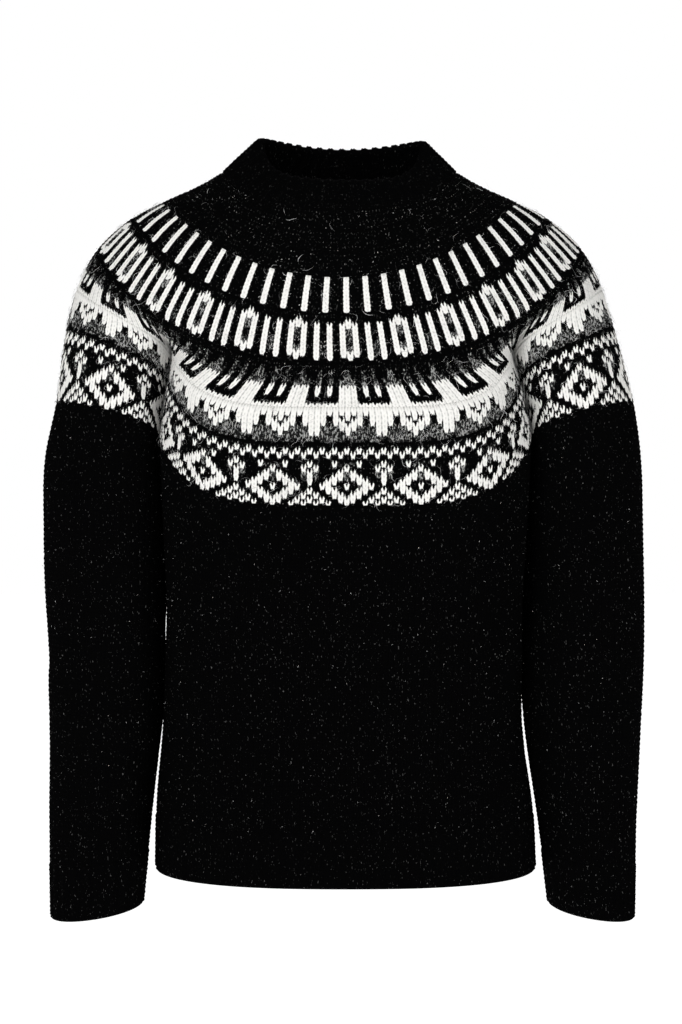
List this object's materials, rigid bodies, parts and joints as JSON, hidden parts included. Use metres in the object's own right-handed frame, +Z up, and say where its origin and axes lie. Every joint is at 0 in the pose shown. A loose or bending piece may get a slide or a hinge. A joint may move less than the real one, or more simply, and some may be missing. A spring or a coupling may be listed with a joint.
{
  "type": "round-yoke knitted pullover sweater",
  "caption": "Dark wool pullover knitted in the round, with a light stranded pattern round its yoke, ribbed neck, hem and cuffs. Hollow, in worn shape.",
  "frame": {"origin": "between the shoulders, level with the foot of the neckband at the shoulder line", "axes": "+Z up along the wearer, -Y to the wearer's front, +X to the wearer's left"},
  "size_m": [0.5566, 0.236, 0.721],
  "materials": {
    "black_wool": "hairy black wool knit",
    "yoke_wool": "hairy wool knit, stranded in white, grey and black",
    "rib_wool": "hairy black wool in one by one rib"
  },
  "bodies": {
    "root": {"neckband": "rib_wool", "yoke": "yoke_wool", "body": "black_wool", "hem_rib": "rib_wool", "sleeve_right": "black_wool", "cuff_right": "rib_wool", "sleeve_left": "black_wool", "cuff_left": "rib_wool"}
  },
  "joints": []
}
